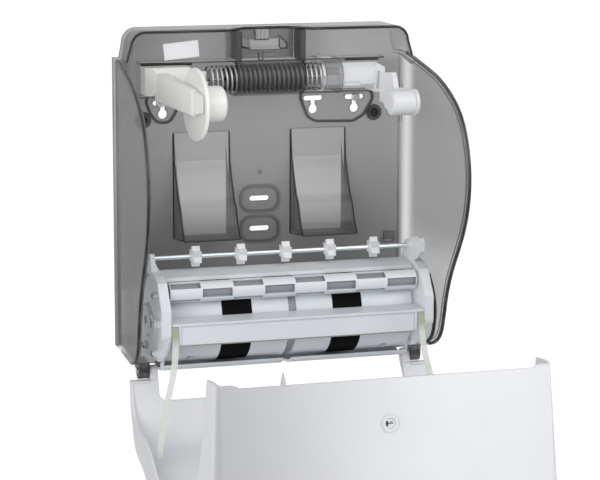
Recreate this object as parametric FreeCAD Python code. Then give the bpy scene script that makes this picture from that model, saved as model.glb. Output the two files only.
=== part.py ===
"""Wall-mounted roll towel dispenser, shown with its front cover hanging open.

Frame: X to the right, +Y into the wall, +Z up, millimetres.  The origin is the middle of the
bottom edge of the housing's flat back.  Lengths measured out from the wall are called depth
(depth = -Y), because most outlines of this object are side views in (depth, height).
"""
import FreeCAD, Part
import math
import os

from FreeCAD import Placement, Rotation, Vector

# ---- driving dimensions -------------------------------------------------------------------
WALL = 3.0                   # plastic wall of the housing and the cover
BACK = 4.0                   # thickness of the housing's back panel
HALF_BACK = 154.7            # half width of the cheeks at the wall
DRAFT = 0.0481               # the cheeks open by this much for each millimetre of depth
HEIGHT = 328.0               # housing height
LEDGE_Z = 295.0              # underside of the ledge where the cheeks meet the narrower top box
BOX_DEPTH = 49.0             # depth of the top box
REACH = 260.0                # a depth beyond everything, for cutting bodies

HINGE = (80.0, -10.0)        # cover hinge, (depth, height)
OPEN_DEG = 84.6              # how far the cover hangs open
COVER_GAP = 1.2              # gap between the cover and the cheek rims when it is shut
EAR = (138.8, 149.5)         # housing hinge ears, from and to in |X|
TAB = (130.0, 138.5)         # cover hinge tabs, from and to in |X|
PIN_R = 2.5

DRUM = (79.5, 42.5)          # drum axis
DRUM_R = 44.6
DRUM_HALF = 126.5
DRUM_WALL = 3.0
GROOVE_HALF = 4.0            # groove for the stripping finger, in the middle of the drum
GROOVE_DEEP = 4.2
GRIP = (42.0, 73.0)          # rubber bands, from and to in |X|
GRIP_DEEP = 1.5
SHAFT_R = 4.0

ROLLER = (122.8, 77.2)       # pinch roller axis
ROLLER_R = 10.3
ROLLER_HALF = 128.0
ROLLER_SHAFT_R = 2.5

STAR = (97.3, 107.6)         # star shaft axis
STAR_R = 10.4
STAR_SHAFT_R = 2.3
STAR_PITCH = 46.65

PLATE = (131.0, 134.0, 140.6)  # side plate: inner face, back of the web, edge of the rim
EAR_IN = 135.8               # inner face of the leaning ear, at its top
FOOT_X = 142.0               # screws that hold the feet of the side plates to the back panel
FOOT_Z = (20.0, 50.0)

SPRING = (34.0, 276.5)       # axis of the arm spring
SPRING_R = 13.4
SPRING_WIRE = 1.1
SPRING_X = (-66.0, 55.4)
SPRING_TURNS = 24

LEFT_HUB = (-93.0, 105.0, 260.0)   # middle of the disc: x, depth, height
TOE_IN = 5.0                 # the disc's front edge leans towards the roll
DISC_R = 36.5
BOSS_R = 18.0
LEFT_PIN_R = 4.0
RIGHT_HUB_AXIS = (105.0, 255.0)
STUB_R = 12.5
RIGHT_PIN_R = 3.0
BAR_DEPTH = (30.0, 38.0)     # the two slide bars lie in the spring, one above the other
LEFT_BAR = (278.0, 285.0)
RIGHT_BAR = (268.0, 275.0)
STOP_R = 13.2                # half discs on the bars that the spring pushes apart

KEYHOLE_X = 103.0
KEYHOLE_Z = 238.5
KEYHOLE_R = 4.85
SLOT_LONG = 21.0
SLOT_HIGH = 5.2
SLOT_Z = 250.0
PLUG_X = 124.0
PLUG_Z = 233.3
PLUG_R = 5.2
RAMP_X = (-92.5, 33.0)       # left edges of the two paper ramps
RAMP_WIDE = 59.5
RAMP_WALL = 2.5
RIM_WIDE = 2.2               # raised rims on the back panel

PLATE_SCREWS = [(103.6, 71.0), (100.0, 12.0), (60.0, 12.0)]
BUSH_R = 7.0
ROLLER_BUSH_R = 5.0
BUSH_X = 130.8               # inner end of the bushes
BUSH_LONG = 3.6
PAWL = (112.0, 44.0)         # pawl pivot; the right plate has the same boss, unused
PAWL_X = (-140.0, -138.3)
RATCHET_X = (-140.0, -136.2)
CRANK_X = (136.2, 140.2)
CRANK_R = 22.0
CRANK_DEG = 120.0
CRANK_SPRING_X = 144.6
SPRING_POST = (40.0, 16.0)
POST_R = 2.2
POST_HEAD_R = 3.4
POST_END = 149.0
GUIDE_IN = 49.3              # bottom guide, radii about the drum axis
GUIDE_OUT = 52.3
SEAM_DEG = 36.0              # the two drum shells part in this plane
BLADE_DEG = 60.0             # the blade slot stands this far behind the top of the drum
KNIFE = (DRUM[0] - 18.0, DRUM[1] + 31.0)   # knife pivot before it is turned with the slot
KNIFE_ROD_R = 2.0
KNIFE_HALF = 108.0
TOOTH = 4.0
DRUM_SCREW_X = 101.7
DRUM_SCREW_HOLE_R = 4.3

TOP_EDGE = (50.0, 328.0)     # rear edge of the cover's top wall
LOCK_DEPTH = 90.0
LOCK_TILT = 3.0              # slope of the top wall at the lock
LOCK_HOLE_R = 6.0
LOCK_PLUG_R = 4.6
NOTCH = 110.0                # the bottom wall is cut back to here between the hinge tabs
STRAP_HALF = 3.2
STRAP_THICK = 1.2

# side plate outline, (depth, height): back and upper edge, front rim, lower edge
PLATE_TOP = [(4.0, 62), (40, 66), (70, 90), (84, 97.5), (97, 97), (120, 94), (132, 89),
             (140, 76), (145, 69.5), (148.4, 64), (148.6, 40)]
PLATE_LOW = [(146.5, 33), (138, 23), (128, 14.5), (116, 7.5), (104, 4), (92, 3.2), (4.0, 3.2)]
# front rim of a cheek, from the ledge at the top down to the bottom flange, (depth, height)
RIM = [(23, 298), (54, 292), (78, 287), (111, 278.5), (137, 267), (160, 252), (174, 235),
       (184, 212), (188, 190), (187, 168), (179, 140), (165, 114), (148, 87), (136, 60),
       (129.5, 36), (122, 17), (108, 5.5), (92, 0)]
# outside of the shut cover, from its top rear edge over the front down to the hinge end
COVER_FRONT = [(150, 333.2), (176, 329), (194, 317), (205, 298), (211, 270), (214.5, 235),
               (215, 190), (209, 150), (196, 112), (182, 84), (169, 63), (161, 42),
               (153, 25), (130, 9), (117, 2), (104, -2.2)]

nodes = {}


# ---- helpers ------------------------------------------------------------------------------
def at(x, depth, z):
    return Vector(x, -depth, z)


def block(x0, x1, d0, d1, z0, z1):
    """A box from its limits in X, depth and height."""
    return Part.makeBox(x1 - x0, d1 - d0, z1 - z0, Vector(x0, -d1, z0))


def outline(points):
    """Closed face in the plane X = 0 through (depth, height) points."""
    corners = [at(0, d, z) for d, z in points]
    return Part.Face(Part.makePolygon(corners + corners[:1]))


def prism(points, x0, x1):
    """Side-view outline extruded from x0 to x1."""
    face = outline(points)
    face.translate(Vector(x0, 0, 0))
    return face.extrude(Vector(x1 - x0, 0, 0))


def plan(points, z0, z1):
    """Top-view outline of (x, depth) points extruded from z0 to z1."""
    corners = [at(x, d, z0) for x, d in points]
    return Part.Face(Part.makePolygon(corners + corners[:1])).extrude(Vector(0, 0, z1 - z0))


def rod(x0, x1, axis, r):
    """Cylinder along X on a (depth, height) axis."""
    return Part.makeCylinder(r, x1 - x0, at(x0, *axis), Vector(1, 0, 0))


def tube(x0, x1, axis, r, bore):
    return rod(x0, x1, axis, r).cut(rod(x0 - 1, x1 + 1, axis, bore))


def peg(x, z, d0, d1, r):
    """Cylinder along the depth, from d0 to d1."""
    return Part.makeCylinder(r, d1 - d0, at(x, d0, z), Vector(0, -1, 0))


def polar(centre, r, degrees):
    a = math.radians(degrees)
    return (centre[0] + r * math.cos(a), centre[1] + r * math.sin(a))


def mirrored(shape):
    """The same piece on the other side of the middle."""
    return shape.mirror(Vector(0, 0, 0), Vector(1, 0, 0))


def both(shape):
    return [shape, mirrored(shape)]


def fuse(first, *others):
    return first.fuse(list(others)).removeSplitter()


def side_face(start, curve_points, rest):
    """Face in X = 0: straight points, then one smooth curve, then straight points."""
    spline = Part.BSplineCurve()
    spline.interpolate([at(0, d, z) for d, z in curve_points])
    line = [curve_points[-1]] + rest + start + [curve_points[0]]
    edges = [spline.toShape()]
    for a, b in zip(line, line[1:]):
        edges.append(Part.makeLine(at(0, *a), at(0, *b)))
    return Part.Face(Part.Wire(Part.__sortEdges__(edges)))


def inset_line(points, inset):
    """Points of a front outline, listed from the top down, moved inwards."""
    moved = []
    for n, (d, z) in enumerate(points):
        before = points[max(n - 1, 0)]
        after = points[min(n + 1, len(points) - 1)]
        way = math.hypot(after[0] - before[0], after[1] - before[1])
        moved.append((d + inset * (after[1] - before[1]) / way,
                      z - inset * (after[0] - before[0]) / way))
    return moved


def widen(face, half):
    """Face in X = 0 extruded to both sides."""
    face = face.copy()
    face.translate(Vector(-half, 0, 0))
    return face.extrude(Vector(2 * half, 0, 0))


def wedge(inset):
    """Room between the two drafted cheek planes, moved inwards by inset."""
    near = HALF_BACK - inset
    far = near + DRAFT * REACH
    return plan([(-near, 0), (near, 0), (far, REACH), (-far, REACH)], -60, 400)


def shoulders(depth, half, low, top, lean, r):
    """Front-view wire with leaning sides and round top corners, at one depth."""
    knee_share = 1 - math.sqrt(0.5)
    a = at(-half, depth, low)
    b = at(-half + lean, depth, top - r)
    c = at(-half + lean + r, depth, top)
    knee = at(-half + lean + r * knee_share, depth, top - r * knee_share)
    left = [Part.makeLine(a, b), Part.Arc(b, knee, c).toShape()]
    right = [mirrored(e) for e in left]
    roof = Part.makeLine(c, at(half - lean - r, depth, top))
    base = Part.makeLine(a, at(half, depth, low))
    return Part.Wire(Part.__sortEdges__(left + right + [roof, base]))


def shape_between(wire_a, wire_b):
    return Part.makeLoft([wire_a, wire_b], True, True)


def opened(shape):
    """Turn a piece of the shut cover to where it hangs open."""
    shape = shape.copy()
    shape.rotate(at(0, *HINGE), Vector(1, 0, 0), OPEN_DEG)
    return shape


def helix(r, wire, x0, x1, axis, turns):
    """Coil spring with its axis along X."""
    length = x1 - x0
    path = Part.makeHelix(length / turns, length, r)
    profile = Part.Wire(Part.makeCircle(wire, Vector(r, 0, 0), Vector(0, 1, 0)))
    coil = Part.Wire(path).makePipeShell([profile], True, True)
    coil.Placement = Placement(at(x0, *axis), Rotation(Vector(0, 1, 0), 90))
    return coil


def screw(base, direction, head_r, head, shank_r, shank):
    """Pan-head screw: base is under the head, direction points out of the head."""
    top = Part.makeCylinder(head_r, head, base, direction)
    top = top.makeFillet(head * 0.45, [top.Edges[0]])
    cross = Part.makeBox(head_r, 0.9, 0.8, Vector(-head_r / 2, -0.45, head - 0.7))
    cross = cross.fuse(Part.makeBox(0.9, head_r, 0.8, Vector(-0.45, -head_r / 2, head - 0.7)))
    cross.Placement = Placement(base, Rotation(Vector(0, 0, 1), direction))
    stem = Part.makeCylinder(shank_r, shank, base - direction * shank, direction)
    return top.fuse(stem).cut(cross)


# ---- housing ------------------------------------------------------------------------------
def cheek_face(inset=0):
    return side_face([(0, inset), (0, RIM[0][1] - inset)], inset_line(RIM, inset), [])


def top_box(inset, depth0, depth1):
    """Top box with leaning sides; it gets 1.5 mm wider each side at its front."""
    def section(depth):
        half = 150.0 + 1.5 * depth / BOX_DEPTH - inset
        return shoulders(depth, half, 288, HEIGHT - inset, 4.8, 15 - inset)
    return shape_between(section(depth0), section(depth1))


def keyhole(x):
    """Round hole, neck and cross slot of a T-shaped keyhole, through the back panel."""
    hole = peg(x, KEYHOLE_Z, -1, 9, KEYHOLE_R)
    neck = block(x - SLOT_HIGH / 2, x + SLOT_HIGH / 2, -1, 9, KEYHOLE_Z, SLOT_Z)
    return [hole, neck, oblong(x, SLOT_Z, -1, 9)]


def oblong(x, z, d0, d1):
    """Slot with round ends, along X."""
    r = SLOT_HIGH / 2
    end = SLOT_LONG / 2 - r
    body = block(x - end, x + end, d0, d1, z - r, z + r)
    return fuse(body, peg(x - end, z, d0, d1, r), peg(x + end, z, d0, d1, r))


def recess(x0, x1, z0, z1, r, d0, d1):
    """Rectangle with round corners sunk along the depth."""
    body = block(x0, x1, d0, d1, z0, z1)
    upright = [e for e in body.Edges if abs(e.tangentAt(e.FirstParameter).y) > 0.9]
    return body.makeFillet(r, upright)


def raised_rim(centres, r, wide, d0, d1):
    """Raised rim around a field; the field's round corners have their centres at (x, z)."""
    corners = [at(x, d0, z) for x, z in centres]
    middle = Part.Face(Part.makePolygon(corners + corners[:1]))
    fields = [middle.makeOffset2D(out, 0, False, False, True) for out in (r, r + wide)]
    inner, outer = [f.extrude(Vector(0, d0 - d1, 0)) for f in fields]
    return outer.cut(inner)


def housing_shell():
    cheek = cheek_face()
    outer = widen(cheek, 200).common(wedge(0))
    outer = outer.fuse(top_box(0, 0, BOX_DEPTH))
    room = prism([(BACK, WALL), (REACH, WALL), (REACH, 400), (BOX_DEPTH, 400), (BOX_DEPTH, 288),
                  (23, LEDGE_Z), (BACK, LEDGE_Z)], -200, 200).common(wedge(WALL))
    shell = outer.cut(room).cut(top_box(WALL, BACK, BOX_DEPTH + 20))

    # thicker bead along the cheek rims
    bead = widen(cheek, 200).cut(widen(cheek_face(4.5), 201))
    bead = bead.common(wedge(0)).cut(wedge(4.4)).common(block(-200, 200, 24, REACH, 3, 297))
    # the top rim is set back in the middle, over the latch pocket
    setback = plan([(-44, 60), (-44, BOX_DEPTH), (-23, 25), (23, 25), (44, BOX_DEPTH), (44, 60)],
                   HEIGHT - WALL - 0.5, HEIGHT + 5)
    paper_exit = [block(-128, 128, 30, REACH, -1, WALL + 0.01),
                  block(-130.2, 130.2, 85, REACH, -1, WALL + 0.01)]
    shell = shell.fuse(bead).cut(setback).cut(paper_exit)

    adds = []
    cuts = []
    # latch pocket: two ribs, a face plate with a bow-tie window, a ledge and its tab
    for x in (-36.5, 31.0):
        adds.append(block(x, x + 5.5, BACK, 46, 293, HEIGHT - WALL))
    pocket = block(-31, 31, 20, 22.5, 293, HEIGHT - WALL)
    window = Part.makePolygon([at(x, 18, z) for x, z in ((-25, 319), (-25, 309), (-16, 305),
                                                         (22.5, 305), (23.5, 309), (14, 319),
                                                         (14, 314), (-17, 314), (-25, 319))])
    pocket = pocket.cut(Part.Face(window).extrude(Vector(0, -6, 0)))
    adds += [pocket, block(-31, 31, 20, 27, 293, 301), block(-7.4, -3.2, 20, 28.5, 293, 301)]

    # channel of the sliding arms and the tunnel over the middle of their spring
    adds.append(block(-130, 130, BACK, 19, 291.5, 293))
    adds.append(block(-130, -46, BACK, 19, 257, 259))
    adds.append(block(46, 130, BACK, 19, 257, 259))
    for x0, x1 in ((-36, 36), (57.4, 75.6)):
        tunnel = tube(x0, x1, SPRING, 18.0, 16.0)
        tunnel = tunnel.common(block(-80, 80, SPRING[0], 80, 200, 300))
        for z in (SPRING[1] + 16, SPRING[1] - 18):
            tunnel = tunnel.fuse(block(x0, x1, BACK, SPRING[0], z, z + 2))
        adds.append(tunnel)

    # wedge ramps that guide the paper, hollow from the back
    ramp = [(BACK - 2, 219), (5, 219), (8, 188), (15, 171), (24, 152), (31, 144), (40, 125),
            (49, 113), (BACK - 2, 108)]
    hollow = [(-1, 206), (5, 188), (12, 170), (21, 151), (28, 143), (37, 124), (43, 115.5),
              (-1, 111)]
    for x in RAMP_X:
        adds.append(prism(ramp, x, x + RAMP_WIDE))
        cuts.append(prism(hollow, x + RAMP_WALL, x + RAMP_WIDE - RAMP_WALL))

    # recess fields, plug rings, oblong recesses
    adds.append(raised_rim([(52, 252), (58, 237), (62, 234.6), (99, 233.6), (106, 237.5),
                            (113.5, 250), (111, 252)], 7.5, RIM_WIDE, BACK - 1, BACK + 3))
    adds.append(raised_rim([(-112, 252), (-109, 244), (-105, 238.8), (-101, 238.8), (-98, 244),
                            (-95, 252)], 7.5, RIM_WIDE, BACK - 1, BACK + 3))
    for z in (134.5, 102.7):
        adds.append(raised_rim([(-9.3, z + 10), (9.3, z + 10), (9.3, z + 14.2), (-9.3, z + 14.2)],
                               10.3, RIM_WIDE, BACK - 1, BACK + 1.4))
        cuts.append(recess(-19.3, 19.3, z, z + 24.2, 10, 2.2, BACK + 2))
        cuts.append(oblong(0, z + 12.4, -1, 9))
    for x in (-KEYHOLE_X, KEYHOLE_X, 57.9):
        cuts += keyhole(x)
    for x in (-PLUG_X, PLUG_X):
        adds.append(peg(x, PLUG_Z, BACK - 1, BACK + 2.2, PLUG_R + 3.1))
        cuts += [peg(x, PLUG_Z, -1, 9, PLUG_R + 0.01), peg(x, PLUG_Z, BACK + 2.2, 12, PLUG_R + 1.1)]
    cuts.append(peg(0, 175, 2.5, 9, 1.8))
    cuts += [peg(x, z, 1, BACK + 1, 1.81) for x in (-FOOT_X, FOOT_X) for z in FOOT_Z]
    # small bracket low on the right, and the arch that carries it
    adds.append(block(133.5, 145.5, BACK, 14, 95, 97.5))
    adds.append(block(133.5, 145.5, 11.5, 14, 95, 107))

    shell = shell.fuse(adds).cut(cuts)

    # hinge ears under the bottom flange
    ear = prism([(58, 1), (88, 1), (88, HINGE[1]), (72, HINGE[1]), (60, -3)], *EAR)
    ear = ear.fuse(rod(*EAR, HINGE, 8.0)).cut(rod(EAR[0] - 1, EAR[1] + 1, HINGE, PIN_R + 0.01))
    return shell.fuse(both(ear)).removeSplitter()


def label_sticker():
    corners = [(-102.4, 310.2), (-65.6, 313.6), (-64.4, 296.8), (-100.7, 293.5)]
    points = [at(x, BACK, z) for x, z in corners]
    return Part.Face(Part.makePolygon(points + points[:1])).extrude(Vector(0, -0.3, 0))


def wall_screws():
    out = Vector(0, -1, 0)
    return [screw(at(x, BACK, SLOT_Z), out, 4.4, 2.6, 2.2, BACK - 0.2) for x in (-106, 104)]


def hole_plugs():
    plugs = []
    for x in (-PLUG_X, PLUG_X):
        stem = peg(x, PLUG_Z, 0.5, BACK + 2.2, PLUG_R)
        cap = peg(x, PLUG_Z, BACK + 2.2, BACK + 3.4, PLUG_R + 1)
        plugs.append(fuse(stem, cap).cut(peg(x, PLUG_Z, BACK + 2.6, BACK + 5, 3.4)))
    return plugs


def latch_catch():
    """Tongue behind the set-back rim that the cover's lock hooks under."""
    tongue = block(-10.4, 3.3, 22.5, 25, 314.9, 324.9)
    ribs = [block(x, x + 1.6, 25, 26.4, 314.9, 324.9) for x in (-8.6, -4.4, -0.2)]
    shelf = block(-16.8, 13.9, 22.5, 28, 304.9, 306.5)
    back = block(-16.8, 13.9, 22.5, 24, 306.5, 315)
    return fuse(tongue, shelf, back, *ribs)


# ---- sprung roll arms ---------------------------------------------------------------------
def arm_slide_left():
    """Head in the channel, bar through the spring, broad arm to the disc."""
    head = prism([(13, 261.5), (40, 261.5), (45, 266), (45, 285), (40, 290), (13, 290)],
                 -128, -83)
    head = head.cut(plan([(-130, 30), (-118, 47), (-130, 47)], 250, 300))
    head = head.cut(prism([(12, 264.5), (37, 264.5), (42, 268), (42, 283), (37, 287), (12, 287)],
                          -118, -86))
    bar = block(-86, 58.1, *BAR_DEPTH, *LEFT_BAR)
    stop = rod(55.6, 58.1, SPRING, STOP_R).common(block(50, 70, 10, 60, LEFT_BAR[0] - 0.8, 300))
    root = [at(x, 41, z) for x, z in ((-120, 256), (-108, 256), (-108, 285.5), (-120, 285.5))]
    tip = [at(x, 119, z) for x, z in ((-102.5, 250.5), (-97.5, 250.5), (-97.5, 277),
                                      (-102.5, 277))]
    arm = shape_between(Part.makePolygon(root + root[:1]), Part.makePolygon(tip + tip[:1]))
    arm = arm.makeFillet(2.0, [e for e in arm.Edges if e.BoundBox.XLength > 10
                               and e.BoundBox.YLength > 60 and e.BoundBox.XMin < -119])
    end = hub_frame(rod(-8.6, -3.6, (0, 0), 10.0), LEFT_HUB, TOE_IN)
    bore = hub_frame(rod(-8.0, 30, (0, 0), LEFT_PIN_R + 0.01), LEFT_HUB, TOE_IN)
    return fuse(head, bar, stop, arm, end).cut(bore)


def arm_slide_right():
    """Head, slotted post and a stepped arm that carries the stub."""
    head = prism([(13, 263.5), (40, 263.5), (45, 268), (45, 285), (40, 290), (13, 290)], 77, 115)
    head = head.cut(prism([(12, 266.5), (37, 266.5), (42, 270), (42, 283), (37, 287), (12, 287)],
                          80, 112))
    head = head.cut(block(78.5, 96, 43.4, 50, 265, 270.5))
    post = Part.Face(Part.makePolygon([at(x, 14, z) for x, z in (
        (111.5, 259.5), (122, 259.5), (122, 285), (114.5, 289), (111.5, 289), (111.5, 259.5))]))
    post = post.extrude(Vector(0, -32, 0)).cut(block(113, 116.6, 42, 50, 263, 281))
    sleeve = prism([(18, 263), (34, 263), (38, 267), (38, 286), (34, 289), (18, 289)], 58.4, 77)
    sleeve = sleeve.cut(block(57, 78, 29.7, 39, 277.6, 285.4))
    bar = block(-68.5, 80, *BAR_DEPTH, *RIGHT_BAR)
    stop = rod(-69, -66.4, SPRING, STOP_R).common(
        block(-80, -50, 10, 60, 250, RIGHT_BAR[1] + 0.8))
    arm = prism([(44, 279.3), (79, 283), (84, 277), (88, 268), (88, 243), (75, 244.4), (62, 244.0),
                 (58, 249), (44, 250)], 117, 122.5)
    web = block(117, 134.7, 84, 88, 243, 268)
    web = web.makeFillet(3.0, [e for e in web.Edges if e.BoundBox.YLength > 3
                               and e.BoundBox.XMin > 134 and e.BoundBox.ZMin > 267])
    cheek = prism([(84, 243), (105, 241.4), (105, 268.6), (84, 264)], 131.2, 134.7)
    end = rod(131.2, 134.7, RIGHT_HUB_AXIS, 13.6)
    solid = fuse(head, post, sleeve, bar, stop, arm, web, cheek, end)
    return solid.cut(rod(100, 160, RIGHT_HUB_AXIS, RIGHT_PIN_R + 0.01))


def hub_frame(shape, place, toe_in):
    """Move a piece made around the X axis at the origin to a hub and toe it in."""
    shape = shape.copy()
    shape.rotate(Vector(0, 0, 0), Vector(0, 0, 1), toe_in)
    shape.translate(at(*place))
    return shape


def hub_left():
    axis = (0, 0)
    disc = rod(-3.2, 1.0, axis, DISC_R)
    disc = disc.makeFillet(1.8, [e for e in disc.Edges if e.Length > 200])
    boss = rod(0.9, 27, axis, BOSS_R)
    boss = boss.makeFillet(5.0, [e for e in boss.Edges if e.Length > 100 and e.BoundBox.XMin > 20])
    hub = fuse(disc, boss).cut(rod(-5, 22, axis, LEFT_PIN_R + 0.08))
    return hub_frame(hub, LEFT_HUB, TOE_IN)


def hub_right():
    stub = rod(107, 130.8, RIGHT_HUB_AXIS, STUB_R)
    stub = stub.makeFillet(2.5, [e for e in stub.Edges if e.BoundBox.XMax < 108])
    return stub.cut(rod(111, 131, RIGHT_HUB_AXIS, RIGHT_PIN_R + 0.08))


def hub_pins():
    left = hub_frame(rod(-7.9, 21.5, (0, 0), LEFT_PIN_R), LEFT_HUB, TOE_IN)
    right = fuse(rod(111.5, 134.7, RIGHT_HUB_AXIS, RIGHT_PIN_R),
                 rod(134.7, 136.9, RIGHT_HUB_AXIS, 5.5))
    return left, right


def arm_spring():
    return helix(SPRING_R, SPRING_WIRE, SPRING_X[0] + SPRING_WIRE, SPRING_X[1] - SPRING_WIRE,
                 SPRING, SPRING_TURNS)


# ---- feed mechanism -----------------------------------------------------------------------
def side_plate(ear):
    """Left or right plate, built on the +X side: web, front rim, foot and ear."""
    web = prism(PLATE_TOP + PLATE_LOW, PLATE[0], PLATE[1])
    inner = outline(PLATE_TOP + PLATE_LOW).makeOffset2D(-3.0, 2, False, False, True)
    inner.translate(Vector(PLATE[1] - 1, 0, 0))
    rim = prism(PLATE_TOP + PLATE_LOW, PLATE[1] - 0.5, PLATE[2])
    rim = rim.cut(inner.extrude(Vector(20, 0, 0)))
    rim = rim.common(block(0, 200, 66, 160, 36, 120))
    foot = block(PLATE[0], 148, BACK, BACK + 3, 12, 58)
    gusset = plan([(PLATE[1], BACK + 3), (PLATE[1], 16), (144, BACK + 3)], 33, 36)
    bosses = [rod(PLATE[1], PLATE[1] + 4, c, 4.2) for c in PLATE_SCREWS + [PAWL]]
    plate = fuse(web, rim, foot, gusset, ear, *bosses)
    bores = [(DRUM, BUSH_R), (ROLLER, ROLLER_BUSH_R), (STAR, STAR_SHAFT_R + 0.08), (PAWL, 2.0)]
    for axis, r in bores:
        plate = plate.cut(rod(100, 160, axis, r))
    for c in PLATE_SCREWS:
        plate = plate.cut(rod(120, 160, c, 1.6))
    for z in FOOT_Z:
        plate = plate.cut(peg(FOOT_X, z, BACK - 1, 12, 1.81))
    return plate


def round_ear():
    """Low rounded ear that leans outwards and carries the left end of the star shaft."""
    stem = prism([(88, 92), (107, 92), (102, STAR[1]), (92.6, STAR[1])], PLATE[0], PLATE[2])
    front = [at(x, 80, z) for x, z in ((PLATE[0], 90), (PLATE[2], 90), (PLATE[2], 110),
                                       (EAR_IN, 110), (EAR_IN, 104))]
    leaning = Part.Face(Part.makePolygon(front + front[:1])).extrude(Vector(0, -40, 0))
    return stem.common(leaning).fuse(rod(EAR_IN, PLATE[2], STAR, 4.7))


def petal_ear():
    """Flared guide ear that leads the roll in from above."""
    petal = prism([(81, 92), (80, 104), (86, 111), (98, 114.5), (110, 118), (124, 121.5),
                   (132, 120.5), (135, 115), (134, 107), (124, 99), (110, 92)],
                  PLATE[0], PLATE[1])
    flare = prism([(112, 118.6), (124, 121.5), (132, 120.5), (135, 115), (134, 107), (126, 101)],
                  PLATE[1] - 0.5, PLATE[1] + 1.6)
    return petal.fuse(flare)


def guide_plate_top():
    top = prism([(91, 94.3), (91, 91.9), (114.4, 88.3), (114.4, 86.8), (116.5, 86.8),
                 (116.5, 90.6)], -128.5, 128.5)
    ends = prism([(93, 93.9), (93, 90.5), (112, 88.6), (112, 91.2)], 128, PLATE[0])
    return fuse(top, *both(ends))


def cross_bar_front():
    flange = prism([(126.5, 52.6), (126.5, 50.4), (148.6, 48.6), (148.6, 51)], -129.8, 129.8)
    web = prism([(143.5, 50), (143.5, 30), (146.5, 29), (146.5, 50)], -123, 123)
    ribs = [block(x, x + 1.6, 134, 148.4, 30, 50) for x in (-123, 121.4)]
    ribs += [block(x, x + 1.6, 134, 144, 32, 50) for x in (-62, -0.8, 60.4)]
    ends = block(129, PLATE[0], 128, 146, 49.4, 50.6)
    return fuse(flange, web, *both(ends), *ribs)


def ring_sector(r0, r1, start, end, x0, x1, axis):
    """Part of a tube about an axis along X, between two angles."""
    face_points = [at(x0, *polar(axis, r0, start)), at(x0, *polar(axis, r1, start)),
                   at(x1, *polar(axis, r1, start)), at(x1, *polar(axis, r0, start))]
    face = Part.Face(Part.makePolygon(face_points + face_points[:1]))
    return face.revolve(at(0, *axis), Vector(1, 0, 0), start - end)


def guide_plate_bottom():
    sheet = ring_sector(GUIDE_IN, GUIDE_OUT, -108, -60, -128.5, 128.5, DRUM)
    low = prism([(95, -5.5), (102, -2.4), (103.5, 4.5), (110, 9), (104, 14), (92, 6)], 127.4, 129.6)
    high = prism([(96, 6.5), (108.4, 6.5), (110, 9), (104, 14), (97, 9.6)], 129, PLATE[0])
    guide = fuse(sheet, *both(low), *both(high))
    return guide.cut(block(-4.6, 4.6, 79, 120, -20, 10))


def pinch_roller():
    """Roller with two rows of open pockets, like a chequer board."""
    body = tube(-ROLLER_HALF, ROLLER_HALF, ROLLER, ROLLER_R, ROLLER_SHAFT_R)
    pitch = ROLLER_HALF / 4
    pockets = []
    for cell in range(8):
        x0 = (cell - 4) * pitch + 0.8
        for turn in range(3):
            middle = 56 + 120 * turn - 60 * (cell % 2)
            pockets.append(ring_sector(7.0, 12, middle + 27, middle - 27, x0, x0 + pitch - 1.6,
                                       ROLLER))
    return body.cut(pockets)


def star_wheel(x):
    points = []
    for tooth in range(6):
        for r, turn in ((6.2, -30), (STAR_R, -2.5), (STAR_R, 2.5)):
            points.append(polar(STAR, r, 30 + 60 * tooth + turn))
    wheel = prism(points, x - 4.0, x + 4.0)
    wheel = wheel.fuse(rod(x - 5.4, x + 5.4, STAR, 5.0))
    return wheel.cut(rod(x - 9, x + 9, STAR, STAR_SHAFT_R))


def drum_body():
    """Hollow drum with end walls, centre groove, band channels, screw holes and blade slot."""
    shell = rod(-DRUM_HALF, DRUM_HALF, DRUM, DRUM_R)
    shell = shell.cut(rod(-DRUM_HALF + 3, DRUM_HALF - 3, DRUM, DRUM_R - DRUM_WALL))
    rib = tube(-GROOVE_HALF - 2, GROOVE_HALF + 2, DRUM, DRUM_R - 1, DRUM_R - GROOVE_DEEP - 2)
    shell = shell.fuse(rib)
    shell = shell.cut(tube(-GROOVE_HALF, GROOVE_HALF, DRUM, DRUM_R + 1, DRUM_R - GROOVE_DEEP))
    for x0, x1 in (GRIP, (-GRIP[1], -GRIP[0])):
        shell = shell.cut(tube(x0, x1, DRUM, DRUM_R + 1, DRUM_R - GRIP_DEEP))
    shell = shell.cut(rod(-200, 200, DRUM, SHAFT_R))
    shell = shell.cut(blade_slot())
    for bore in screw_axes():
        shell = shell.cut(Part.makeCylinder(1.5, 100, *bore))
    return shell


def turned(shape, degrees=BLADE_DEG):
    """Turn a piece made above the drum axis back towards the wall."""
    shape = shape.copy()
    shape.rotate(at(0, *DRUM), Vector(1, 0, 0), -degrees)
    return shape


def screw_axes():
    """Start point and direction of the screws that close the drum."""
    start = polar(DRUM, DRUM_R - 6.0, SEAM_DEG - 90)
    a = math.radians(SEAM_DEG + 90)
    inward = Vector(0, -math.cos(a), math.sin(a))
    return [(at(x, *start), inward) for x in (-DRUM_SCREW_X, DRUM_SCREW_X)]


def drum_halves():
    body = drum_body()
    for start, inward in screw_axes():
        post = Part.makeCylinder(6.2, 2 * DRUM_R - 3.5, start - inward * 5, inward)
        post = post.cut(rod(-200, 200, DRUM, 9.0))
        body = body.fuse(post).cut(Part.makeCylinder(1.5, 60, start - inward * 10, inward))
    body = body.cut([Part.makeCylinder(DRUM_SCREW_HOLE_R, 12, s - i * 12, i)
                     for s, i in screw_axes()])
    cutter = block(-200, 200, DRUM[0] - 60, DRUM[0] + 60, DRUM[1], DRUM[1] + 60)
    cutter.rotate(at(0, *DRUM), Vector(1, 0, 0), -SEAM_DEG)
    return body.cut(cutter), body.common(cutter)


def drum_screws():
    screws = []
    for start, inward in screw_axes():
        screws.append(screw(start, inward * -1, 3.9, 2.4, 1.5, 22))
    return screws


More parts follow.
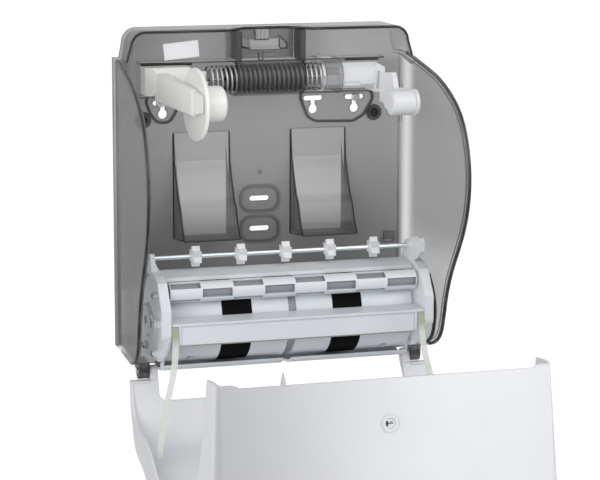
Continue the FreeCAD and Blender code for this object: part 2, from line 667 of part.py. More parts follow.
def blade_slot():
    return turned(block(-112, 112, DRUM[0] - 7, DRUM[0] + 3, DRUM[1] + 34, DRUM[1] + 50))


def grip_bands():
    band = tube(*GRIP, DRUM, DRUM_R, DRUM_R - GRIP_DEEP).cut(blade_slot())
    return both(band)


def knife_parts():
    """Serrated blade, carrier and pivot rod, made above the drum axis, then turned."""
    low, high = DRUM[1] + 29.5, DRUM[1] + 43.0
    teeth = [(-KNIFE_HALF, low)]
    for n in range(round(2 * KNIFE_HALF / TOOTH)):
        x = -KNIFE_HALF + n * TOOTH
        teeth += [(x, high - 3), (x + TOOTH / 2, high)]
    teeth += [(KNIFE_HALF, high - 3), (KNIFE_HALF, low)]
    wire = [at(x, DRUM[0], z) for x, z in teeth]
    blade = Part.Face(Part.makePolygon(wire + wire[:1])).extrude(Vector(0, -0.8, 0))
    blade = blade.cut(block(-8, 8, 0, 200, DRUM[1] + 35, 200))
    carrier = block(-KNIFE_HALF, KNIFE_HALF, KNIFE[0] - 2, DRUM[0], low, low + 3)
    carrier = carrier.fuse(rod(-KNIFE_HALF, KNIFE_HALF, KNIFE, 3.4))
    carrier = carrier.cut(rod(-120, 120, KNIFE, KNIFE_ROD_R + 0.05))
    carrier = carrier.cut(block(-9, 9, KNIFE[0] - 10, KNIFE[0] + 7, 0, 200))
    pivot = rod(-DRUM_HALF + 3, DRUM_HALF - 3, KNIFE, KNIFE_ROD_R)
    return turned(blade), turned(carrier), turned(pivot)


def ratchet_wheel():
    points = []
    for tooth in range(12):
        points += [polar(DRUM, 13.0, 30 * tooth), polar(DRUM, 17.0, 30 * tooth + 2)]
    return prism(points, *RATCHET_X).cut(rod(-160, -100, DRUM, SHAFT_R))


def pawl():
    arm = prism([(108, 40.5), (115.5, 42), (114, 49), (99, 52), (95.6, 48.4), (99.5, 47.6),
                 (106, 46)], *PAWL_X)
    return fuse(arm, rod(*PAWL_X, PAWL, 4.6)).cut(rod(-160, -100, PAWL, 2.05))


def pawl_pin():
    return fuse(rod(-141.5, -134, PAWL, 2.0), rod(-143, -141.5, PAWL, 3.4))


def crank_pin():
    return polar(DRUM, CRANK_R, CRANK_DEG)


def crank():
    disc = rod(*CRANK_X, DRUM, 9.0)
    across = CRANK_DEG - 90
    arm = prism([polar(DRUM, 6.5, across), polar(crank_pin(), 4.5, across),
                 polar(crank_pin(), 4.5, across + 180), polar(DRUM, 6.5, across + 180)], *CRANK_X)
    eye = rod(*CRANK_X, crank_pin(), 4.5)
    pin = rod(CRANK_X[1] - 0.2, POST_END, crank_pin(), POST_R)
    head = rod(POST_END - 1.5, POST_END, crank_pin(), POST_HEAD_R)
    return fuse(disc, arm, eye, pin, head).cut(rod(100, 160, DRUM, SHAFT_R))


def spring_post():
    head = rod(POST_END - 1.5, POST_END, SPRING_POST, POST_HEAD_R)
    return fuse(rod(PLATE[1], POST_END, SPRING_POST, POST_R), head)


def crank_spring():
    """Extension spring from the crank pin to the post: two loops and a coil between them."""
    a = at(CRANK_SPRING_X, *crank_pin())
    b = at(CRANK_SPRING_X, *SPRING_POST)
    way = b - a
    length = way.Length
    way.normalize()
    aside = way.cross(Vector(1, 0, 0))
    loop_r = 3.4
    coil_r = 3.2
    wire = 0.6
    body = length - 4 * loop_r + 2
    path = Part.makeHelix(body / 16, body, coil_r)
    profile = Part.Wire(Part.makeCircle(wire, Vector(coil_r, 0, 0), Vector(0, 1, 0)))
    coil = Part.Wire(path).makePipeShell([profile], True, True)
    coil.Placement = Placement(a + way * (2 * loop_r - 1), Rotation(Vector(0, 0, 1), way))
    pieces = [coil]
    for centre, sign in ((a, 1), (b, -1)):
        pieces.append(Part.makeTorus(loop_r, wire, centre, Vector(1, 0, 0)))
        reach = way * sign
        slant = (reach * 3.6 + aside * 2.6).normalize()
        pieces.append(Part.makeCylinder(wire, 4.2, centre + reach * loop_r, slant))
    return Part.makeCompound(pieces)


def bushes():
    bearings = []
    for axis, r, bore in ((DRUM, BUSH_R, SHAFT_R + 0.06),
                          (ROLLER, ROLLER_BUSH_R, ROLLER_SHAFT_R + 0.05)):
        bearings += [tube(x, x + BUSH_LONG, axis, r, bore) for x in (-BUSH_X - BUSH_LONG, BUSH_X)]
    return bearings


def mech_screws():
    out = Vector(0, -1, 0)
    screws = [screw(at(x, BACK + 3, z), out, 3.4, 2.2, 1.8, 5.5)
              for x in (-FOOT_X, FOOT_X) for z in FOOT_Z]
    for centre in PLATE_SCREWS:
        for sign in (-1, 1):
            base = at(sign * (PLATE[1] + 4), *centre)
            screws.append(screw(base, Vector(sign, 0, 0), 3.2, 2.0, 1.6, 6.5))
    return screws


# ---- cover --------------------------------------------------------------------------------
def cover_room(inset):
    """Space inside the cover's outside, moved in by the wall thickness."""
    slope = math.tan(math.radians(LOCK_TILT))
    back = (-60, TOP_EDGE[1] - slope * (TOP_EDGE[0] + 60))
    line = inset_line([back] + COVER_FRONT + [(89, -6), (-60, -6)], inset)
    face = side_face([line[0]], line[1:-2], line[-2:])
    body = widen(face, 220)

    def section(depth):
        half = HALF_BACK + DRAFT * depth - inset
        return shoulders(depth, half, -40, 337.0 - inset, 0, 20 - inset)
    return body.common(shape_between(section(0), section(REACH)))


def lock_frame(shape):
    """Place a piece made along +Z at the origin on the top wall's lock point."""
    shape = shape.copy()
    height = TOP_EDGE[1] + math.tan(math.radians(LOCK_TILT)) * (LOCK_DEPTH - TOP_EDGE[0])
    shape.rotate(Vector(0, 0, 0), Vector(1, 0, 0), -LOCK_TILT)
    shape.translate(at(0, LOCK_DEPTH, height))
    return shape


def cover_shell():
    shell = cover_room(0).cut(cover_room(WALL))
    shell = shell.cut(widen(cheek_face(-COVER_GAP), 220))
    shell = shell.cut(block(-220, 220, -80, 46, -60, 400))
    shell = shell.cut(prism([(-80, 316), (46, 316), (47.2, 325), (TOP_EDGE[0], 331),
                             (TOP_EDGE[0], 400), (-80, 400)], -220, 220))
    shell = shell.cut(top_box(-COVER_GAP, 0, BOX_DEPTH + COVER_GAP))
    shell = shell.cut(block(-220, 220, -80, 89, -60, 5))
    # paper exit: the bottom wall is cut back between the hinge tabs, with round corners
    notch = block(-TAB[0], TAB[0], 60, NOTCH, -40, 12)
    notch = notch.makeFillet(8, [e for e in notch.Edges if abs(e.BoundBox.ZLength) > 20
                                 and e.BoundBox.YMin < -100])
    shell = shell.cut(notch)

    tab = prism([(HINGE[0], -4.6), (92, -3.6), (112, 1.2), (112, -0.5), (104, -3), (90, -12.6),
                 (HINGE[0], -15.4)], *TAB)
    tab = tab.fuse(rod(*TAB, HINGE, 5.4))
    skirt = block(139.2, 156.6, 89, 91.6, -13, -1.2)
    finger = prism([(90.5, -0.8), (90.5, -2.2), (108, -3.6), (112, 0), (112, 2.6),
                    (104, 0.4)], -2.5, 2.5)
    finger = finger.common(plan([(-0.5, 90), (0.5, 90), (2.5, 101), (2.5, 120), (-2.5, 120),
                                 (-2.5, 101)], -20, 20))
    shell = shell.fuse(both(tab) + both(skirt) + [finger])
    shell = shell.cut([rod(TAB[0] - 2, EAR[0], HINGE, PIN_R + 0.08),
                       rod(-EAR[0], 2 - TAB[0], HINGE, PIN_R + 0.08)])
    shell = shell.cut(lock_frame(Part.makeCylinder(LOCK_HOLE_R, 20, Vector(0, 0, -10))))
    return opened(shell.removeSplitter())


def lock_ring():
    collar = Part.makeCylinder(8.0, 1.2)
    neck = Part.makeCylinder(LOCK_HOLE_R, 10, Vector(0, 0, -10))
    nut = Part.makeCylinder(9.0, 3.0, Vector(0, 0, -7.4))
    ring = fuse(collar, neck, nut).cut(Part.makeCylinder(LOCK_PLUG_R, 30, Vector(0, 0, -15)))
    return opened(lock_frame(ring))


def lock_cylinder():
    plug = Part.makeCylinder(LOCK_PLUG_R - 0.06, 12.6, Vector(0, 0, -12))
    plug = plug.cut(block(-2.6, 2.6, -0.6, 0.6, -3, 5))
    stem = Part.makeCylinder(2.4, 3.4, Vector(0, 0, -15.2))
    return opened(lock_frame(fuse(plug, stem)))


def lock_cam():
    """Arm under the lock that hooks behind the housing's tongue when it points at the wall."""
    arm = block(-5, 5, -36, 5.5, -14.4, -12.4)
    hook = block(-5, 5, -36, -33.6, -14.4, -9.4)
    cam = fuse(arm, hook).cut(Part.makeCylinder(2.4, 30, Vector(0, 0, -25)))
    return opened(lock_frame(cam))


def strap_clips():
    return [opened(clip) for clip in both(block(152.6, 159.2, 156, 166, 70, 82))]


def strap(side):
    """Flat check strap, from the cross bar's end down and out to the clip in the cover."""
    route = [(127.3, 147.0, 48.2), (127.6, 150.6, 28.0), (130.4, 153.4, 5.8),
             (136.6, 156.4, -19.5), (144.4, 161.6, -54.0), (149.2, 168.0, -77.0)]
    sections = []
    for x, depth, z in route:
        corners = [at(x - STRAP_HALF, depth, z), at(x + STRAP_HALF, depth, z),
                   at(x + STRAP_HALF, depth + STRAP_THICK, z),
                   at(x - STRAP_HALF, depth + STRAP_THICK, z)]
        sections.append(Part.makePolygon(corners + corners[:1]))
    band = Part.makeLoft(sections, True, True)
    return band if side > 0 else mirrored(band)


def hinge_pins():
    head = EAR[1] + 1.2
    return both(fuse(rod(TAB[0] + 0.4, head, HINGE, PIN_R), rod(EAR[1], head, HINGE, 4.0)))


# ---- assembly -----------------------------------------------------------------------------
def build():
    nodes["housing_shell"] = housing_shell()
    nodes["label_sticker"] = label_sticker()
    nodes["wall_screws"] = wall_screws()
    nodes["hole_plugs"] = hole_plugs()
    nodes["latch_catch"] = latch_catch()

    nodes["arm_slide_left"] = arm_slide_left()
    nodes["arm_slide_right"] = arm_slide_right()
    nodes["hub_left"] = hub_left()
    nodes["hub_right"] = hub_right()
    nodes["hub_pin_left"], nodes["hub_pin_right"] = hub_pins()
    nodes["arm_spring"] = arm_spring()

    nodes["side_plate_left"] = mirrored(side_plate(round_ear()))
    nodes["side_plate_right"] = side_plate(petal_ear())
    nodes["guide_plate_top"] = guide_plate_top()
    nodes["guide_plate_bottom"] = guide_plate_bottom()
    nodes["cross_bar_front"] = cross_bar_front()
    nodes["star_shaft"] = rod(-139.4, 136, STAR, STAR_SHAFT_R)
    nodes["star_wheels"] = [star_wheel(n * STAR_PITCH) for n in range(-2, 3)]
    nodes["pinch_roller"] = pinch_roller()
    nodes["roller_shaft"] = rod(-136, 136, ROLLER, ROLLER_SHAFT_R)
    nodes["drum_half_front"], nodes["drum_half_rear"] = drum_halves()
    nodes["drum_screws"] = drum_screws()
    nodes["drum_shaft"] = rod(-141, 141, DRUM, SHAFT_R)
    nodes["grip_bands"] = grip_bands()
    nodes["knife_blade"], nodes["knife_carrier"], nodes["knife_rod"] = knife_parts()
    nodes["ratchet_wheel"] = ratchet_wheel()
    nodes["pawl"] = pawl()
    nodes["pawl_pin"] = pawl_pin()
    nodes["crank"] = crank()
    nodes["spring_post"] = spring_post()
    nodes["crank_spring"] = crank_spring()
    nodes["shaft_bushes"] = bushes()
    nodes["mech_screws"] = mech_screws()

    nodes["cover_shell"] = cover_shell()
    nodes["lock_ring"] = lock_ring()
    nodes["lock_cylinder"] = lock_cylinder()
    nodes["lock_cam"] = lock_cam()
    nodes["strap_clips"] = strap_clips()
    nodes["strap_left"] = strap(-1)
    nodes["strap_right"] = strap(1)
    nodes["hinge_pins"] = hinge_pins()


build()
os.makedirs("parts", exist_ok=True)
for name, shape in nodes.items():
    if isinstance(shape, list):
        shape = Part.makeCompound(shape)
    print(name, "valid" if shape.isValid() else "INVALID", len(shape.Solids), round(shape.Volume))
    shape.exportStep(f"parts/{name}.step")
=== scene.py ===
# %% [markdown]
# # A towel dispenser with its cover hanging open
#
# This lesson dresses the engineering model of a wall-mounted roll towel dispenser. The model
# comes in as a fixed frame: every moulding, shaft and screw is already in its place, in metres,
# with X to the right, +Y into the wall and +Z up. What is missing is looks: smoke-grey
# see-through plastic, satin white mouldings, rubber, wire and the soft rims that a mould leaves.

# %% load the frame and remember its box
import bmesh
import bpy
import math
from mathutils import Matrix, Vector


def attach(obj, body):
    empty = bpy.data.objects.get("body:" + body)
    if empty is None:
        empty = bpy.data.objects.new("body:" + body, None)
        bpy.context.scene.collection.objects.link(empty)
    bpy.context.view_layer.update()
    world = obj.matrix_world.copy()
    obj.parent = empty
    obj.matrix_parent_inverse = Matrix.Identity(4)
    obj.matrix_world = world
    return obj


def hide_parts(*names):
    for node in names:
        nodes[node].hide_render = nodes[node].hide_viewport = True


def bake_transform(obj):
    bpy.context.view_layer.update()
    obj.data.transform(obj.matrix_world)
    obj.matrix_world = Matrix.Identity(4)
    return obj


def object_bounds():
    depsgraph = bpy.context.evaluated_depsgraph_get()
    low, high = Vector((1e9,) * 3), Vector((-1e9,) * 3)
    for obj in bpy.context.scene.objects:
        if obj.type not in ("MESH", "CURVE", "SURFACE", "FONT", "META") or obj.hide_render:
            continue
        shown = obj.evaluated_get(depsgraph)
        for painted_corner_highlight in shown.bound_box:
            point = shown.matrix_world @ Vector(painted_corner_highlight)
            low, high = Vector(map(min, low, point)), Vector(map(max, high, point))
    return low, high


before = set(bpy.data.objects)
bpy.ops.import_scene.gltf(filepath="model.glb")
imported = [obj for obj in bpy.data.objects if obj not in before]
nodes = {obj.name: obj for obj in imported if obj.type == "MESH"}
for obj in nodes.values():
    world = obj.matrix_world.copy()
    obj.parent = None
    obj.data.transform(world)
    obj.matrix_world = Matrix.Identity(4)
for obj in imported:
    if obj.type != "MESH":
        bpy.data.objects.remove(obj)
cad_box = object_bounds()
MM = 0.001
print("nodes loaded:", len(nodes))


def at(x, depth, z):
    """Point from X, depth in front of the wall and height, all in millimetres."""
    return Vector((x, -depth, z)) * MM


# %% [markdown]
# ## The camera
# The camera stands to the left of the dispenser, a little above it, and looks slightly down.
# It is far away with a long lens, so that the two cheeks of the housing look almost parallel.
# Its turn is built from three plain rotations, which is easier to adjust than a matrix.

# %% camera
YAW = math.radians(17.106)
PITCH = math.radians(10.440)
ROLL = math.radians(-0.191)
SENSOR = 36.0
FOCUS_PX = 2292.63
FRAME_PX = 600
CAMERA_AT = (-652.84, 2268.25, 537.0)

view = bpy.data.cameras.new("view")
view.sensor_width = SENSOR
view.lens = FOCUS_PX * SENSOR / FRAME_PX
view.clip_start = 0.05
view.clip_end = 100
camera = bpy.data.objects.new("view", view)
bpy.context.collection.objects.link(camera)
turn = Matrix.Rotation(-YAW, 4, "Z") @ Matrix.Rotation(math.pi / 2 - PITCH, 4, "X")
turn = turn @ Matrix.Rotation(-ROLL, 4, "Z")
camera.matrix_world = Matrix.Translation(at(*CAMERA_AT)) @ turn
bpy.context.scene.camera = camera
bpy.context.scene.view_settings.view_transform = "Standard"
print("lens in millimetres:", round(view.lens, 1))


# %% [markdown]
# ## A small language for finishes
# Node trees are hard to read as lists of links. Here a socket is wrapped in a class that knows
# `+`, `-` and `*`, so that a pattern can be written as the sum it is. Everything else is one
# method that makes a node, sets its settings first, and then fills its sockets.

# %% wrapped sockets and the finish class
class Wire:
    """A number on its way through the shader."""

    def __init__(self, finish, socket):
        self.finish = finish
        self.socket = socket

    def sum(self, operation, first, second):
        return self.finish.node("ShaderNodeMath", {"operation": operation},
                                {0: first, 1: second})

    def __add__(self, other):
        return self.sum("ADD", self, other)

    __radd__ = __add__

    def __sub__(self, other):
        return self.sum("SUBTRACT", self, other)

    def __rsub__(self, other):
        return self.sum("SUBTRACT", other, self)

    def __mul__(self, other):
        return self.sum("MULTIPLY", self, other)

    __rmul__ = __mul__

    def __abs__(self):
        return self.sum("ABSOLUTE", self, 0.0)


class Finish:
    """A material, and the nodes that give it its grain."""

    def __init__(self, name, color, roughness, **fixed):
        self.material = bpy.data.materials.new(name)
        self.material.use_nodes = True
        self.tree = self.material.node_tree
        self.surface = self.tree.nodes["Principled BSDF"]
        self.set("Base Color", (*color, 1))
        self.set("Roughness", roughness)
        for socket, value in fixed.items():
            self.set(socket.replace("_", " "), value)

    def set(self, socket, value):
        self.feed(self.surface.inputs[socket], value)

    def feed(self, socket, value):
        if isinstance(value, Wire):
            self.tree.links.new(value.socket, socket)
        else:
            socket.default_value = value

    def node(self, kind, settings=None, inputs=None, out=0):
        made = self.tree.nodes.new(kind)
        for name, value in (settings or {}).items():
            setattr(made, name, value)
        for name, value in (inputs or {}).items():
            self.feed(made.inputs[name], value)
        return Wire(self, made.outputs[out])

    def place(self):
        """Object coordinates."""
        return self.node("ShaderNodeTexCoord", out="Object")

    def axes(self):
        """X, depth and height as three numbers in millimetres."""
        scaled = self.node("ShaderNodeVectorMath", {"operation": "MULTIPLY"},
                           {0: self.place(), 1: (1000, -1000, 1000)})
        return [self.node("ShaderNodeSeparateXYZ", None, {0: scaled}, out) for out in range(3)]

    def noise(self, scale, detail=2.0, stretch=(1, 1, 1)):
        """Noise from 0 to 1; scale is in patches for each metre."""
        where = self.node("ShaderNodeMapping", None, {"Vector": self.place(), "Scale": stretch})
        return self.node("ShaderNodeTexNoise", None,
                         {"Vector": where, "Scale": scale, "Detail": detail})

    def step(self, value, low, high):
        """Smooth rise from 0 at low to 1 at high."""
        return self.node("ShaderNodeMapRange", {"interpolation_type": "SMOOTHSTEP"},
                         {"Value": value, "From Min": low, "From Max": high})

    def between(self, value, low, high, soft=0.5):
        """1 between low and high, 0 outside, with soft edges."""
        above = self.step(value, low - soft, low + soft)
        return above * (1 - self.step(value, high - soft, high + soft))

    def mix(self, amount, first, second):
        """Colour between first and second."""
        return self.node("ShaderNodeMix", {"data_type": "RGBA"},
                         {0: amount, 6: first, 7: second}, 2)

    def stain(self, amount, color):
        """Mix another colour into the tone that the finish already has."""
        self.tone = self.mix(amount, self.tone, (*color, 1))
        self.set("Base Color", self.tone)

    def normal(self, axis=None):
        """The true normal of the surface, or one of its three parts."""
        normal = self.node("ShaderNodeNewGeometry", None, None, "True Normal")
        return self.node("ShaderNodeSeparateXYZ", None, {0: normal}, axis) if axis else normal

    def rounded(self, radius):
        """Normals as if every edge had been rounded off with this radius in metres."""
        return self.node("ShaderNodeBevel", {"samples": 4}, {"Radius": radius})

    def bump(self, height, depth, radius=0.0):
        """Relief: depth is the height of the pattern in metres, over edges with a radius."""
        relief = {"Height": height, "Distance": depth}
        if radius:
            relief["Normal"] = self.rounded(radius)
        self.set("Normal", self.node("ShaderNodeBump", None, relief))


def shade(color, amount):
    """A colour made darker or lighter, as four numbers."""
    return (*[c * amount for c in color], 1)


def mesh_from(shape, name):
    """Turn a bmesh into a mesh with a name, and free it."""
    mesh = bpy.data.meshes.new(name)
    shape.to_mesh(mesh)
    shape.free()
    return mesh


# %% [markdown]
# ## Smoke-grey plastic
# The housing is a dark plastic that lets light through. A real glass shader would need many
# samples, and the walls are thin, so plain alpha on a dark satin surface is enough: each wall
# has two faces, and looking through two walls gives a darker grey by itself. The wall is thick
# in the ribs, so the alpha changes with the place on the part. The alpha also paints light and
# shade: painted shade on the back panel and the cheeks, and painted highlights in the rear
# corners and on the ramps, where the alpha is lower.
# The places are written as limits in millimetres, and each is 1 inside and 0 outside.

# %% smoke: where the plastic is
SMOKE = (0.16, 0.161, 0.165)
SMOKE_LEFT_PAINTED_LIGHT = (0.215, 0.215, 0.22, 1)
NEAR_BLACK = (0.012, 0.012, 0.013)
smoke = Finish("smoke", SMOKE, 0.3)
side, depth, height = smoke.axes()
away = abs(side)
between = smoke.between
back_panel = 1 - smoke.step(depth, 5, 12)
toward_foot = 1 - smoke.step(height, 60, 235)
# Painted highlight: a strip in each rear inner corner of the cheeks, where the alpha is lower.
painted_corner_highlight = smoke.step(away, 145, 151) * (1 - smoke.step(abs(depth - 24), 2, 24))
recess_rims = between(height, 222, 264) * smoke.step(away, 40, 42)
slot_rims = between(height, 99, 163) * (1 - smoke.step(away, 23, 24))
outlines = between(depth, 4.9, 7.6, 0.2) * (0.85 * recess_rims + 0.25 * slot_rims)
sunk = (1 - smoke.step(depth, 2.6, 3.8)) * slot_rims
ears = 1 - smoke.step(height, -1.5, 0.5)
ramps = between(away, 32, 94) * between(height, 105, 221) * between(depth, 4.6, 52, 0.3)
pocket_ribs = between(away, 30.5, 37) * smoke.step(height, 293, 295) * smoke.step(depth, 5, 9)
spring_cover = between(height, 256, 296.5) * smoke.step(depth, 18, 22)
tunnel = between(away, 0, 37) * spring_cover
sleeve = between(away, 56, 77) * spring_cover
latch_plate = between(away, 0, 31) * smoke.step(height, 292, 294) * between(depth, 19, 30)
top_right = back_panel * smoke.step(side, 40, 90) * smoke.step(height, 284, 296)
cheeks = smoke.step(away, 146, 150) * smoke.step(depth, 30, 50)
left = 1 - smoke.step(side, -1, 1)
low = 1 - smoke.step(height, 80, 135)
middle = between(height, 120, 250, 30)
print("nodes that mark places on the housing:", len(smoke.tree.nodes))

# %% smoke: how thick it looks, with painted light and shade
ALPHA = 0.5
ALPHA_OF_THICK = 0.42
EDGE_RADIUS = 0.0016
cloud = smoke.noise(9, 3)
sideways = abs(smoke.normal("X"))
lean = smoke.node("ShaderNodeVectorMath", {"operation": "DOT_PRODUCT"},
                  {0: smoke.rounded(EDGE_RADIUS), 1: smoke.normal()}, 1)
edge = 1 - smoke.step(lean, 0.72, 0.985)
ramp_sides = ramps * smoke.step(sideways, 0.6, 0.9)
ramp_face = ramps * (1 - ramp_sides)
# Painted shade: the foot of each ramp face gets more alpha and a darker colour.
ramp_foot_painted_shade = ramp_face * (0.55 * (1 - smoke.step(height, 112, 158))
                         + 0.2 * (1 - smoke.step(height, 111, 116)))
thick = (1 - painted_corner_highlight) * smoke.node("ShaderNodeClamp", None, {
    0: edge + outlines + 0.75 * ramp_sides + ramp_foot_painted_shade + 0.7 * pocket_ribs + 0.7 * ears
    + 0.08 * sunk})
# Painted shade on the back panel: more alpha towards its foot and its left side, less at its top
# right; the small even part is the panel's thickness.
left_dim = 1 - smoke.step(side, -150, -60)
panel_thickness_and_painted_shade = back_panel * (0.03 + 0.2 * toward_foot + 0.09 * left_dim) - 0.08 * top_right
# Painted shade and light on the cheeks: the left one darker low down and lighter in the middle,
# the right one lighter low down.
cheek_painted_shade = cheeks * (left * (0.2 * low - 0.08 * middle - 0.05) - 0.14 * (1 - left) * low)
# Lower alpha: thin spots at the sleeve, latch plate, tunnel and ramps, and painted highlights in
# the rear corners and on the upper part of the ramp faces.
thin_spots_and_painted_highlights = (0.3 * painted_corner_highlight + 0.28 * sleeve + 0.22 * latch_plate + 0.16 * tunnel + 0.06 * ramps
               + 0.08 * ramp_face * smoke.step(height, 180, 196))
smoke.set("Alpha", ALPHA + panel_thickness_and_painted_shade + cheek_painted_shade - thin_spots_and_painted_highlights + 0.05 * cloud
          + ALPHA_OF_THICK * thick)
body = smoke.mix(cloud, shade(SMOKE, 0.9), shade(SMOKE, 1.15))
# Painted light: the upper part of the left cheek gets a lighter grey.
body = smoke.mix(cheeks * left * (1 - low), body, SMOKE_LEFT_PAINTED_LIGHT)
dark = smoke.node("ShaderNodeClamp", None, {0: thick + 0.75 * tunnel})
smoke.set("Base Color", smoke.mix(dark, body, (*NEAR_BLACK, 1)))
smoke.set("Roughness", 0.26 + 0.1 * smoke.noise(60, 3))
print("finish:", smoke.material.name)

# %% [markdown]
# ## Rims of the smoke plastic
# Looked at along the wall, the same plastic is nearly black, because light has a long way
# through it. The beads along the rims get this darker, glossier cousin of the first finish.

# %% dark smoke for rims
rim = Finish("smoke_rim", NEAR_BLACK, 0.2)
rim.set("Alpha", 0.94)
rim.set("Roughness", 0.16 + 0.12 * rim.noise(120, 2))
print("finish:", rim.material.name)

# %% [markdown]
# ## Mouldings in white, natural and frosted plastic
# The mechanism is white with a satin grain, the roll arms are a warmer plastic that light
# sinks into a little, and the cover is frosted: pale, smooth and slightly see-through. A flat
# colour would look like card, so each gets a faint cloud, an uneven gloss and a fine grain.
# Sides that face left get a weak glow, for the light that comes in through the cheek.


# %% satin mouldings
LIT = (1, 1, 1, 1)
UNLIT = (0, 0, 0, 1)


def glow(made, strength):
    """Light that reaches the left-facing sides through the smoke-grey cheek."""
    not_left = made.step(made.normal("X"), -0.95, -0.6)
    made.set("Emission Color", made.mix(not_left, LIT, UNLIT))
    made.set("Emission Strength", strength)


def moulding(name, color, roughness, grain, radius=0.0):
    """Cast plastic: grain is the depth of its relief, radius that of its edges, in metres."""
    made = Finish(name, color, roughness)
    made.tone = made.mix(made.noise(14, 3), shade(color, 0.95), shade(color, 1.03))
    made.set("Base Color", made.tone)
    made.set("Roughness", roughness - 0.06 + 0.14 * made.noise(45, 3))
    made.bump(made.noise(1800, 2), grain, radius)
    return made


# %% the mouldings
WHITE = (0.70, 0.73, 0.76)
FROSTED = (0.81, 0.82, 0.85)
FINE = 0.00001
COARSE = 0.00002
white = moulding("white", WHITE, 0.36, COARSE, 0.0007)
roller = moulding("roller", WHITE, 0.36, COARSE, 0.0007)
drum = moulding("drum", WHITE, 0.36, COARSE, 0.0007)
natural = moulding("natural", (0.86, 0.86, 0.825), 0.36, FINE, 0.001)
bright = moulding("bright", (0.72, 0.73, 0.75), 0.34, FINE, 0.0008)
frosted = moulding("frosted", FROSTED, 0.32, FINE, 0.0012)
frosted.set("Alpha", 0.86)
haze = moulding("haze", (0.46, 0.465, 0.47), 0.3, FINE, 0.0006)
haze.set("Alpha", 0.8)
clear = moulding("clear", (0.78, 0.81, 0.76), 0.3, FINE)
clear.set("Alpha", 0.66)
olive = moulding("olive", (0.30, 0.35, 0.27), 0.34, FINE)
black = moulding("black", NEAR_BLACK, 0.5, COARSE)
plug = moulding("plug", (0.010, 0.010, 0.011), 0.5, COARSE)
glow(white, 0.15)
glow(bright, 0.15)
glow(natural, 0.06)
print("nodes in each moulding:", len(black.tree.nodes))

# %% [markdown]
# ## Where a moulding changes its tone
# Painted shade darkens the open pockets in the roller, the groove round the drum is in its own
# shade, the left end of the drum and the right plate lie in the shade of the housing, painted
# shade darkens the bars in the spring, the check strap is greener at its upper end, the plugs
# are paler at their rims, and painted shade darkens the front of the frosted cover to the left.

# %% tones
ROLLER_AXIS = (122.8, 77.2)
PLUG_AT = (124, 233.3)


def squares_from(across, up, centre):
    """Square of the distance from a centre, in the plane of two axes."""
    across, up = across - centre[0], up - centre[1]
    return across * across + up * up


side, depth, height = roller.axes()
# Painted shade: the floors of the open pockets are darker.
pocket_painted_shade = 1 - roller.step(squares_from(depth, height, ROLLER_AXIS), 8.2 ** 2, 9.6 ** 2)
roller.stain(0.9 * pocket_painted_shade, (0.21, 0.225, 0.24))

side, depth, height = drum.axes()
drum.stain(0.7 * (1 - drum.step(abs(side), 3.8, 4.2)), (0.25, 0.26, 0.28))
drum.stain(0.4 * (1 - drum.step(side, -125, -50)), (0.42, 0.44, 0.47))

side, depth, height = white.axes()
white.stain(0.35 * white.step(side, 60, 110), (0.50, 0.52, 0.54))

for finish in (natural, bright):
    side, depth, height = finish.axes()
    # Painted shade: the bars inside the spring are darker.
    bar_painted_shade = finish.between(depth, 29, 39) * finish.between(side, -66, 57)
    finish.stain(0.9 * bar_painted_shade * finish.between(height, 260, 293), (0.16, 0.16, 0.16))

height = clear.axes()[2]
clear.stain(clear.step(height, 26, 40), (0.42, 0.48, 0.36))

side, depth, height = plug.axes()
plug_rim = plug.step(squares_from(abs(side), height, PLUG_AT), 4.8 ** 2, 5.5 ** 2)
plug.stain(plug_rim, (0.085, 0.085, 0.087))

side, depth, height = frosted.axes()
# Painted shade: the outer front of the cover gets darker towards the left.
outside = (1 - frosted.step(frosted.normal("Y"), -0.5, -0.1)) * frosted.step(depth, 372, 402)
frosted.stain(outside * (1 - frosted.step(side, -190, 60)), [0.57 * c for c in FROSTED])
print("nodes in the cover's finish:", len(frosted.tree.nodes))

# %% [markdown]
# ## Rubber, metal and paper
# The grip bands are black rubber with a sandpaper grain. The shafts are drawn steel, brushed
# along their length, the spring is duller wire, and the screws are bright zinc. The label is
# plain paper with fibres.

# %% rubber
rubber = Finish("rubber", (0.004, 0.004, 0.0045), 0.85, Specular_IOR_Level=0.08)
pores = rubber.node("ShaderNodeTexVoronoi", None, {"Vector": rubber.place(), "Scale": 900.0})
rubber.bump(pores, 0.00012)
rubber.set("Roughness", 0.7 + 0.2 * rubber.noise(300, 2))
print("finish:", rubber.material.name)


# %% metals
BRUSHED = (0.04, 1, 1)
EVEN = (1, 1, 1)


def metal(name, color, roughness, stretch):
    """Metal with fine lines, drawn out along an axis by stretch."""
    made = Finish(name, color, roughness, Metallic=1.0)
    lines = made.noise(900, 2, stretch)
    made.set("Roughness", roughness - 0.05 + 0.16 * lines)
    made.set("Base Color", made.mix(made.noise(40, 3), shade(color, 0.85), shade(color, 1.05)))
    made.bump(lines, 0.000008)
    return made


bright_steel = metal("bright_steel", (0.80, 0.85, 0.87), 0.22, BRUSHED)
steel = metal("steel", (0.60, 0.61, 0.63), 0.3, BRUSHED)
spring = metal("spring", (0.56, 0.565, 0.57), 0.5, EVEN)
zinc = metal("zinc", (0.72, 0.73, 0.75), 0.24, EVEN)
print("nodes in a metal:", len(zinc.tree.nodes))

# %% paper
PAPER = (0.9, 0.895, 0.95)
paper = Finish("paper", PAPER, 0.85)
fibres = paper.noise(700, 3, (1, 1, 0.3))
paper.set("Base Color", paper.mix(fibres, shade(PAPER, 0.94), shade(PAPER, 1.04)))
paper.bump(fibres, 0.00003)
# Painted light: the label glows a little, which lifts it out of the shade of the housing.
paper.set("Emission Color", LIT)
paper.set("Emission Strength", 0.24)
print("finish:", paper.material.name)

